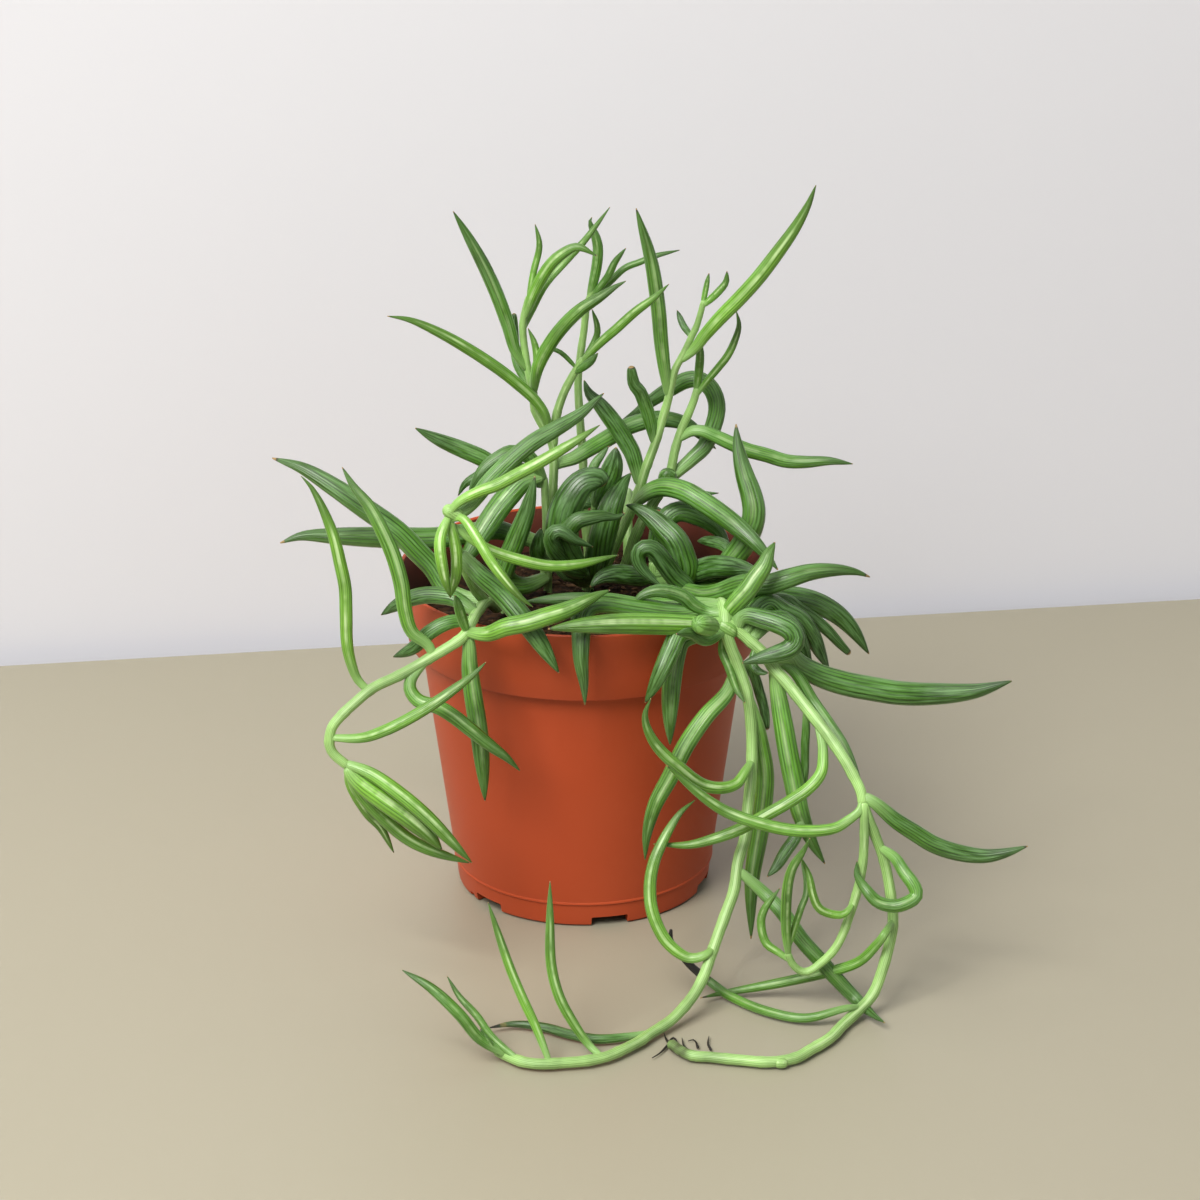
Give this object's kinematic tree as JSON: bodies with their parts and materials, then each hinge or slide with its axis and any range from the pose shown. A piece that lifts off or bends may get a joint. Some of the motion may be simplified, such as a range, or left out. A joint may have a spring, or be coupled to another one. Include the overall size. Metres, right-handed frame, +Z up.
{
  "type": "potted fishhooks senecio",
  "caption": "Trailing succulent with long pointed, hooked leaves on upright and drooping stems, rooted in soil in a tapered round nursery pot with a rim band.",
  "frame": {"origin": "centre of the pot's flat underside, on the surface that it stands on", "axes": "+Z up along the pot's axis, -Y towards the front view, +X to the right in the front view"},
  "size_m": [0.2059, 0.1964, 0.2053],
  "materials": {
    "pot": "satin terracotta-coloured plastic",
    "soil": "dark, crumbly, matte",
    "young_growth": "satin mid-green skin",
    "crown_growth": "satin dark blue-green skin",
    "trailing_growth": "satin pale green skin"
  },
  "bodies": {
    "root": {"pot": "pot", "soil": "soil", "stem_tall_left": "young_growth", "stem_tall_middle": "young_growth", "stem_tall_right": "young_growth", "stem_right": "young_growth", "stem_front_left": "young_growth", "stem_crown_left": "crown_growth", "stem_crown_middle": "crown_growth", "stem_crown_right": "crown_growth", "stem_front_right": "trailing_growth", "stem_back": "crown_growth"}
  },
  "joints": []
}
